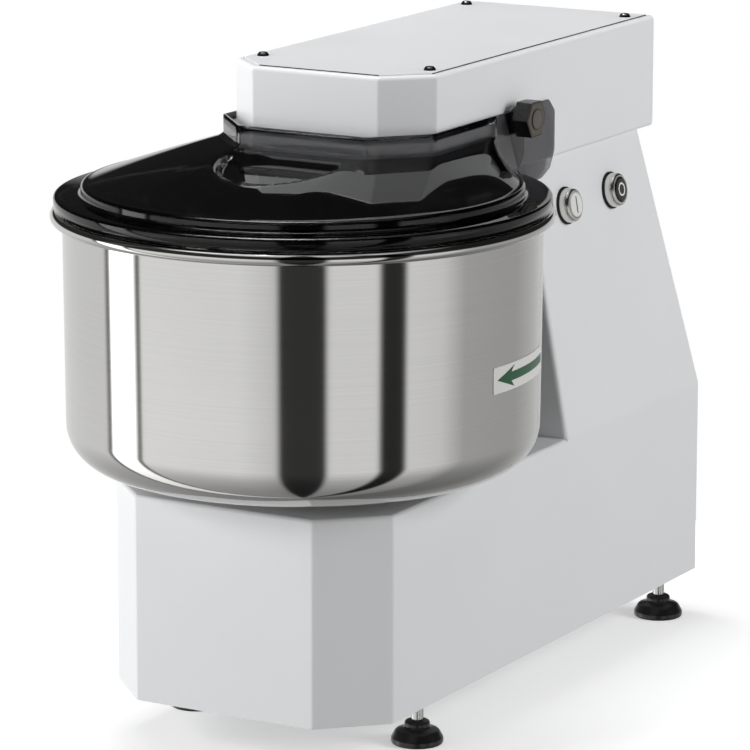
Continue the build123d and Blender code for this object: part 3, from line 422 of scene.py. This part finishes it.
def dome_directions(plan):
    """For each point of the skirt's plan, the direction in which the dome runs out to the rim."""
    lengths = [0.0]
    for p, q in zip(plan, plan[1:]):
        lengths.append(lengths[-1] + (q - p).length)
    total = lengths[-1]
    end = math.atan2(LID_BACK_Y, LID_HALF_W)
    side = (LID_BACK_Y - LID_FRONT_Y - LID_CUT_Y) / total
    front = (LID_HALF_W - LID_CUT_X) / total
    knots = [(0.0, end), (side, math.radians(-22)), (0.5 - front, math.radians(-68)),
             (0.5 + front, math.radians(-112)), (1 - side, math.radians(-158)), (1.0, -math.pi - end)]

    def direction(t):
        """Straight-line value between the two knots round t."""
        for (t0, a0), (t1, a1) in zip(knots, knots[1:]):
            if t <= t1 + 1e-9:
                return a0 + (a1 - a0) * (t - t0) / (t1 - t0)
        return knots[-1][1]

    angles = [direction(s / total) for s in lengths]
    for _ in range(30):
        angles = [angles[0]] + [(angles[i - 1] + angles[i] * 2 + angles[i + 1]) / 4
                                for i in range(1, len(angles) - 1)] + [angles[-1]]
    return angles


def build_lid():
    """Formed smoked lid: lip, flange, step, dome with a shallow hollow, and upright skirt."""
    flange_r, dome_r, shoulder_r = 187.6 * MM, 167 * MM, 163 * MM
    lip_z, flange_z, dome_z = 406.2 * MM, 415.5 * MM, 424 * MM
    bulge, skirt_lift, rows = 0.8 * MM, 1.6 * MM, 26
    edge = rounded_path([(flange_r, lip_z), (flange_r, flange_z), (dome_r, flange_z),
                         (dome_r, dome_z), (shoulder_r, dome_z)],
                        (0, 2.2 * MM, 3 * MM, 3 * MM, 0), 5)
    plan = skirt_plan()
    bm = bmesh.new()
    grid = []
    for point, angle in zip(plan, dome_directions(plan)):
        ray = Vector((math.cos(angle), math.sin(angle)))
        column = [bm.verts.new((ray.x * r, ray.y * r, z)) for r, z in edge]
        shoulder = ray * shoulder_r
        for k in range(1, rows):
            t = k / rows
            spot = shoulder + (point - shoulder) * t
            z = dome_z + (SKIRT_FOOT_Z - dome_z) * t + bulge * math.sin(math.pi * t) - hollow(spot)
            column.append(bm.verts.new((spot.x, spot.y, z)))
        for z in (SKIRT_FOOT_Z + skirt_lift - hollow(point), (SKIRT_FOOT_Z + SKIRT_TOP_Z) / 2, SKIRT_TOP_Z):
            column.append(bm.verts.new((point.x, point.y, z)))
        grid.append(column)
    for one, two in zip(grid, grid[1:]):
        for k in range(len(one) - 1):
            bm.faces.new((one[k], two[k], two[k + 1], one[k + 1]))
    moved(bm, Matrix.Translation((0, BOWL_Y, 0)))
    lid = piece("smoked_lid", bm, smoke_painted_dark, "lid_unit", ("lid",), 40)
    # Faces above the skirt's foot take the lighter smoke; the dome and flange below keep the darker copy, which is
    # painted shade.
    lid.data.materials.append(smoke)
    for face in lid.data.polygons:
        if face.center.z > SKIRT_FOOT_Z:
            face.material_index = 1
    shell = lid.modifiers.new("sheet", "SOLIDIFY")
    shell.thickness = LID_SHEET
    shell.offset = -1
    shell.use_even_offset = False


def hollow(plan):
    """Depth of the shallow almond-shaped hollow pressed into the dome ahead of the skirt."""
    back, depth_max = -22 * MM, 4.5 * MM
    half_w, reach, blend = 50 * MM, 66 * MM, 9 * MM
    u = abs(plan.x) / half_w
    if u >= 1:
        return 0.0
    front = back - reach * math.sqrt(1 - u ** 2)
    inside = min(back - plan.y, plan.y - front)
    if inside <= 0:
        return 0.0
    t = min(1.0, inside / blend)
    return depth_max * t * t * (3 - 2 * t)


def build_lid_arms():
    """Arms that carry the lid back to its hinge."""
    front, rear = LID_BACK_Y - 0.5 * MM, HINGE_Y + 12 * MM
    foot = 412.8 * MM
    outline = [(front, SKIRT_TOP_Z), (rear, SKIRT_TOP_Z), (rear, 426 * MM), (HINGE_Y + 3 * MM, foot),
               (front, foot)]
    path = rounded_path(outline, (0, 9 * MM, 7 * MM, 5 * MM, 0), 6)
    for side, x in (("left", -LID_HALF_W), ("right", LID_HALF_W - ARM_T)):
        arm = piece("lid_arm_" + side, upright(plate(path, ARM_T), x), smoke, "lid_unit", ())
        bevelled(arm, 0.5 * MM, 2)


def build_guards():
    """Fixed smoked plates beside the head, behind the lid's hinge."""
    rear = 236 * MM
    outline = [(HINGE_Y - 16 * MM, SKIRT_TOP_Z), (rear - 10 * MM, SKIRT_TOP_Z),
               (rear, SKIRT_TOP_Z - 10 * MM), (rear, 420 * MM), (228 * MM, 407 * MM), (214 * MM, 401 * MM),
               (198 * MM, 400.5 * MM), (184 * MM, 406 * MM), (176 * MM, 412 * MM)]
    radii = [r * MM for r in (2, 5, 5, 8, 8, 8, 8, 8, 4)]
    path = rounded_path(outline, radii, 4)
    pair = [upright(plate(path, GUARD_T), x) for x in (-GUARD_IN_X - GUARD_T, GUARD_IN_X)]
    guards = piece("smoked_side_guards", merged(*pair), smoke, "machine", ("side_guards",))
    bevelled(guards, 0.5 * MM, 2)


# ---------------------------------------------------------------- hinge knobs

def build_knobs():
    """Six-sided knobs on a round collar, with a metal face and a round inlay."""
    half_across, collar_r, collar_h = 13.6 * MM, 9 * MM, 3.5 * MM
    face_at, ring_at, disc_at = 16.5 * MM, 16.8 * MM, 16.8 * MM
    inlay_r, inlay_h, ring_w, ring_h = 7.5 * MM, 0.9 * MM, 0.7 * MM, 0.6 * MM
    radius = half_across / math.cos(math.radians(30))
    hexagon = [(radius * math.cos(math.radians(60 * k)), radius * math.sin(math.radians(60 * k)))
               for k in range(6)]
    inner = [(x * 0.9, y * 0.9) for x, y in hexagon]
    collar = rounded_path([(6 * MM, 0), (collar_r, 0), (collar_r, 3.6 * MM), (6 * MM, 3.6 * MM)],
                          (0, 0.4 * MM, 0, 0), 3)
    ring = [(inlay_r, 0), (inlay_r + ring_w, 0), (inlay_r + ring_w, ring_h), (inlay_r, ring_h)]
    inlay = rounded_path([(0, inlay_h), (inlay_r, inlay_h), (inlay_r, 0), (0, 0)], (0, 0.5 * MM, 0, 0), 4)
    bodies, faces, discs, rings = [], [], [], []
    for side in (-1, 1):
        outward = Matrix.Translation((side * LID_HALF_W, HINGE.y, HINGE.z)) @ \
            Matrix.Rotation(side * math.pi / 2, 4, "Y")
        place = outward @ Matrix.Rotation(math.radians(30), 4, "Z")
        six_sided = plate(rounded_path(hexagon, [1.2 * MM] * 6, 3), 13.2 * MM)
        bodies.append(moved(six_sided, raised(place, collar_h)))
        bodies.append(moved(lathe(collar, 48, closed=True), place))
        faces.append(moved(plate(rounded_path(inner, [0.8 * MM] * 6, 3), 0.45 * MM), raised(place, face_at)))
        discs.append(moved(lathe(inlay, 48), raised(place, disc_at)))
        rings.append(moved(lathe(ring, 48, closed=True), raised(outward, ring_at)))
    piece("knob_rings", merged(*rings), ink_black, "lid_unit", ())
    knobs = piece("hex_knobs", merged(*bodies), knob_black, "lid_unit", ("hinge_knobs",))
    bevelled(knobs, 0.9 * MM, 3)
    face = piece("knob_faces", merged(*faces), knob_face, "lid_unit", ())
    bevelled(face, 0.2 * MM, 2)
    piece("knob_discs", merged(*discs), knob_disc, "lid_unit", ())


# ---------------------------------------------------------------- push buttons

def button_place(name):
    """Place of a button: Z along its axis, and 0 on the face that it is mounted on."""
    low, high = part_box(name)
    out, wide = CAP_TOP - CAP_EDGE, CAP_R - CAP_EDGE
    seat = Vector((high.x - out * PRESS_AXIS.x - wide * PRESS_AXIS.z - CAP_EDGE, (low.y + high.y) / 2,
                   high.z - out * PRESS_AXIS.z - wide * PRESS_AXIS.x - CAP_EDGE))
    turn = Vector((0, 0, 1)).rotation_difference(PRESS_AXIS).to_matrix().to_4x4()
    return Matrix.Translation(seat) @ turn


def build_cap(name, body, look):
    """Moulded cap on its stem."""
    foot, stem_r, stem_end = CAP_TOP - CAP_H, 5 * MM, -10 * MM
    profile = rounded_path([(0, CAP_TOP), (CAP_R, CAP_TOP), (CAP_R, foot), (stem_r, foot),
                            (stem_r, stem_end), (0, stem_end)],
                           (0, 1.3 * MM, 0.4 * MM, 0, 0.5 * MM, 0), 5)
    piece(name + "_cap", moved(lathe(profile, 64), button_place(name)), look, body, (name,))


def build_buttons():
    """Caps with their marks: a bar for start and a ring for stop."""
    build_cap("start_button", "start_cap", white_cap)
    long, wide = 6.6 * MM, 0.65 * MM
    bar = plate([(-long, -wide), (long, -wide), (long, wide), (-long, wide)], PRINT_T)
    piece("start_button_mark", moved(bar, raised(button_place("start_button"), CAP_TOP)), ink_black,
          "start_cap", ())
    build_cap("stop_button", "stop_cap", black_cap)
    near, far = 4.1 * MM, 5.5 * MM
    ring = lathe([(near, 0), (far, 0), (far, PRINT_T), (near, PRINT_T)], 48, closed=True)
    piece("stop_button_mark", moved(ring, raised(button_place("stop_button"), CAP_TOP)), ink_white,
          "stop_cap", ())


def build_bezels():
    """Domed bezels that curve in from the gasket to a thin lip round the cap."""
    lip_r, lip_z, crown = 10.6 * MM, 4.2 * MM, 5.2 * MM
    bore, seat = 10.3 * MM, 1.5 * MM
    dome = [(lip_r + (BEZEL_R - lip_r) * math.cos(a) ** 0.6, lip_z + crown * math.sin(a))
            for a in (math.radians(6 * k) for k in range(15))]
    profile = [(BEZEL_R, seat)] + dome + [(10.45 * MM, 9.35 * MM), (bore, 8.9 * MM), (bore, seat)]
    pair = [moved(lathe(profile, 96, closed=True), button_place(name))
            for name in ("start_button", "stop_button")]
    piece("domed_bezels", merged(*pair), chrome, "machine", ("button_bezels",), 45)


# ---------------------------------------------------------------- head cover's edge

def build_cover_seal():
    """Thin black seal strip that shows under the cover's edge, all round."""
    low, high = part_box("head_cover")
    cut_x, cut_y = 30.6 * MM, 28.7 * MM
    grow, width = 0.35 * MM, 0.5 * MM
    foot, top = high.z - 0.9 * MM, high.z - 0.15 * MM
    x, front, rear = high.x + grow, low.y - grow, high.y + grow
    outline = [(x, rear), (-x, rear), (-x, front + cut_y), (-x + cut_x, front), (x - cut_x, front),
               (x, front + cut_y)]
    bm = bmesh.new()
    rings = []
    for inset, z in ((0, foot), (0, top), (width, top), (width, foot)):
        rings.append([bm.verts.new((px - math.copysign(inset, px), py + (inset if py < 0 else -inset), z))
                      for px, py in outline])
    for one, two in zip(rings, rings[1:] + rings[:1]):
        for i in range(6):
            n = (i + 1) % 6
            bm.faces.new((one[i], one[n], two[n], two[i]))
    piece("cover_seal", bm, edge_seal, "machine", ())


# ---------------------------------------------------------------- feet

def build_feet():
    """Domed pads with a neck, on threaded studs."""
    pad_r, neck_r, collar_r = 20 * MM, 9.8 * MM, 5.2 * MM
    pad = rounded_path(
        [(0, 0), (19.2 * MM, 0), (pad_r, 1.4 * MM), (pad_r, 4.4 * MM), (16.6 * MM, 10.4 * MM),
         (neck_r, 12.4 * MM), (neck_r, 17.2 * MM), (collar_r, 18.5 * MM), (collar_r, 10 * MM)],
        (0, 0.4 * MM, 0.6 * MM, 2.5 * MM, 4 * MM, 2.2 * MM, 2.6 * MM, 0.2 * MM, 0), 6)
    crest, root, pitch, top = 5 * MM, 4.45 * MM, 1.5 * MM, 57 * MM
    z = 10 * MM
    thread = [(0, z)]
    while z < top:
        thread += [(root, z), (crest, z + pitch / 2)]
        z += pitch
    thread += [(root, z), (0, z)]
    for place in ("front_left", "front_right", "rear_left", "rear_right"):
        node, body = "levelling_foot_" + place, "foot_" + place
        low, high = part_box(node)
        at = Matrix.Translation(((low.x + high.x) / 2, (low.y + high.y) / 2, 0))
        piece("pad_" + place, moved(lathe(pad, 96), at), foot_black, body, (node,), 50)
        piece("stud_" + place, moved(lathe(thread, 40), at), zinc, body, (), 80)


# ---------------------------------------------------------------- stage, light and camera

def build_floor():
    """Pale round floor under the machine; its own glow rises to the backdrop's white at its edge."""
    radius, dim_to = 0.72, 0.50
    outline = [(radius * math.cos(math.radians(a)), BOWL_Y + radius * math.sin(math.radians(a)))
               for a in range(0, 360, 5)]
    mesh = bpy.data.meshes.new("floor")
    mesh.from_pydata([(x, y, 0) for x, y in outline], [], [tuple(range(len(outline)))])
    obj = bpy.data.objects.new("floor", mesh)
    bpy.context.scene.collection.objects.link(obj)
    mat, tree, shader = new_material("floor")
    shader.inputs["Base Color"].default_value = grey(0.90)
    shader.inputs["Roughness"].default_value = 0.9
    shader.inputs["Emission Color"].default_value = (1, 1, 1, 1)
    coords = add(tree, "ShaderNodeTexCoord")
    away = add(tree, "ShaderNodeVectorMath", operation="DISTANCE")
    away.inputs[1].default_value = (0, BOWL_Y, 0)
    tree.links.new(coords.outputs["Object"], away.inputs[0])
    glow = add(tree, "ShaderNodeMapRange")
    glow.inputs["From Min"].default_value = dim_to
    glow.inputs["From Max"].default_value = radius
    glow.inputs["To Min"].default_value = 0.40
    glow.inputs["To Max"].default_value = 1.0
    tree.links.new(away.outputs["Value"], glow.inputs["Value"])
    tree.links.new(glow.outputs["Result"], shader.inputs["Emission Strength"])
    obj.data.materials.append(mat)
    # The bowl's reflections and bounced light take the studio's lower half instead of the floor.
    obj.visible_glossy = False
    obj.visible_diffuse = False


CAMERA_DEG = 30.0


def build_camera():
    """Camera at the photograph's angle: 30 degrees to the right of the front, 11.7 up."""
    azimuth, elevation, distance = math.radians(CAMERA_DEG), math.radians(11.68), 3.503
    target = Vector((0, BOWL_Y + 0.060, 0.320))
    back = Vector((math.sin(azimuth) * math.cos(elevation), -math.cos(azimuth) * math.cos(elevation),
                   math.sin(elevation)))
    data = bpy.data.cameras.new("camera")
    obj = bpy.data.objects.new("camera", data)
    bpy.context.scene.collection.objects.link(obj)
    obj.location = target + back * distance
    obj.rotation_euler = (-back).to_track_quat("-Z", "Y").to_euler()
    data.lens = 219.4
    data.sensor_width = 36.0
    data.shift_x = 0.0427
    data.shift_y = -0.0965
    bpy.context.scene.camera = obj


# Brightness of the studio round the machine: degrees from the camera's side, plus to its right, and
# radiance there. It runs in straight lines from one stop to the next.
STUDIO = (
    (-180, 0.80), (-109, 0.86),                                    # wall behind on the left
    (-107.5, 0.14), (-105.5, 0.14),                                # thin flag
    (-105, 2.6), (-87.5, 2.6),                                     # tall soft box
    (-87, 0.14), (-84.5, 0.14),                                    # thin flag
    (-83, 1.05), (-30, 0.98), (-13, 0.80),                         # wall on the left
    (-10, 0.045), (10, 0.045),                                     # flag on the camera's own side
    (13, 0.93), (36, 0.93),                                        # wall on the right
    (38.5, 0.03), (49, 0.03),                                      # flag
    (52, 0.90), (70, 0.82), (84, 0.50), (118, 0.46), (124, 0.46),  # wall that fades to the right
    (180, 0.80))
# Share of that brightness by height of the direction: 0 straight down, 0.5 level, 1 straight up.
HEIGHTS = ((0.0, 0.30), (0.20, 0.62), (0.36, 1.0), (0.53, 1.0), (0.57, 0.035), (0.90, 0.035), (0.95, 0.9),
           (1.0, 0.9))


def fill_ramp(node, stops):
    """Gives a colour ramp its stops, as pairs of position and grey value."""
    elements = node.color_ramp.elements
    for stop, (position, value) in zip((elements[0], elements[1]), (stops[0], stops[-1])):
        stop.position, stop.color = position, grey(value)
    for position, value in stops[1:-1]:
        elements.new(position).color = grey(value)


def build_world():
    """White backdrop for the camera, and a studio of soft boxes and dark flags for all else."""
    env = bpy.data.worlds.new("studio")
    env.use_nodes = True
    tree = env.node_tree
    back = tree.nodes["Background"]
    coords = add(tree, "ShaderNodeTexCoord")
    parts = add(tree, "ShaderNodeSeparateXYZ")
    tree.links.new(coords.outputs["Generated"], parts.inputs["Vector"])
    turned = add(tree, "ShaderNodeVectorRotate", rotation_type="Z_AXIS", Angle=math.radians(90 - CAMERA_DEG))
    tree.links.new(coords.outputs["Generated"], turned.inputs["Vector"])
    flat = add(tree, "ShaderNodeSeparateXYZ")
    tree.links.new(turned.outputs["Vector"], flat.inputs["Vector"])
    angle = add(tree, "ShaderNodeMath", operation="ARCTAN2")
    tree.links.new(flat.outputs["Y"], angle.inputs[0])
    tree.links.new(flat.outputs["X"], angle.inputs[1])
    span = add(tree, "ShaderNodeMapRange")
    span.inputs["From Min"].default_value = -math.pi
    span.inputs["From Max"].default_value = math.pi
    tree.links.new(angle.outputs["Value"], span.inputs["Value"])
    bands = tree.nodes.new("ShaderNodeValToRGB")
    peak = max(v for _, v in STUDIO)
    fill_ramp(bands, [((degrees + 180) / 360, value / peak) for degrees, value in STUDIO])
    tree.links.new(span.outputs["Result"], bands.inputs["Fac"])
    height = tree.nodes.new("ShaderNodeValToRGB")
    fill_ramp(height, HEIGHTS)
    rise = add(tree, "ShaderNodeMapRange")
    rise.inputs["From Min"].default_value = -1.0
    rise.inputs["From Max"].default_value = 1.0
    tree.links.new(parts.outputs["Z"], rise.inputs["Value"])
    tree.links.new(rise.outputs["Result"], height.inputs["Fac"])
    both = add(tree, "ShaderNodeMix", data_type="RGBA", blend_type="MULTIPLY")
    both.inputs["Factor"].default_value = 1.0
    tree.links.new(bands.outputs["Color"], both.inputs["A"])
    tree.links.new(height.outputs["Color"], both.inputs["B"])
    tree.links.new(both.outputs["Result"], back.inputs["Color"])
    back.inputs["Strength"].default_value = peak
    seen = add(tree, "ShaderNodeBackground")
    seen.inputs["Color"].default_value = grey(1.0)
    path = add(tree, "ShaderNodeLightPath")
    mix = add(tree, "ShaderNodeMixShader")
    tree.links.new(path.outputs["Is Camera Ray"], mix.inputs["Fac"])
    tree.links.new(back.outputs["Background"], mix.inputs[1])
    tree.links.new(seen.outputs["Background"], mix.inputs[2])
    tree.links.new(mix.outputs["Shader"], tree.nodes["World Output"].inputs["Surface"])
    bpy.context.scene.world = env


def soft_box(name, place, size, power, mirrored=False):
    """Rectangular light aimed at the machine; reflections show it only if mirrored is set."""
    aim = (0, 0, 0.3)
    data = bpy.data.lights.new(name, "AREA")
    data.shape = "RECTANGLE"
    data.size, data.size_y = size
    data.energy = power
    obj = bpy.data.objects.new(name, data)
    bpy.context.scene.collection.objects.link(obj)
    obj.location = place
    obj.rotation_euler = (Vector(aim) - Vector(place)).to_track_quat("-Z", "Y").to_euler()
    obj.visible_glossy = mirrored


build_bowl()
build_label()
build_lid()
build_lid_arms()
build_guards()
build_knobs()
build_buttons()
build_bezels()
build_cover_seal()
build_feet()

build_floor()
build_camera()
build_world()
soft_box("top_light", (-0.5, 0.2, 2.4), (0.9, 0.9), 24, True)
soft_box("front_left_light", (-1.9, -2.4, 1.3), (1.2, 1.4), 58)
soft_box("left_light", (-2.6, -0.6, 1.2), (1.2, 1.4), 12)
soft_box("right_light", (2.6, 0.6, 1.3), (1.2, 1.4), 42)
bpy.context.scene.view_settings.view_transform = "Standard"
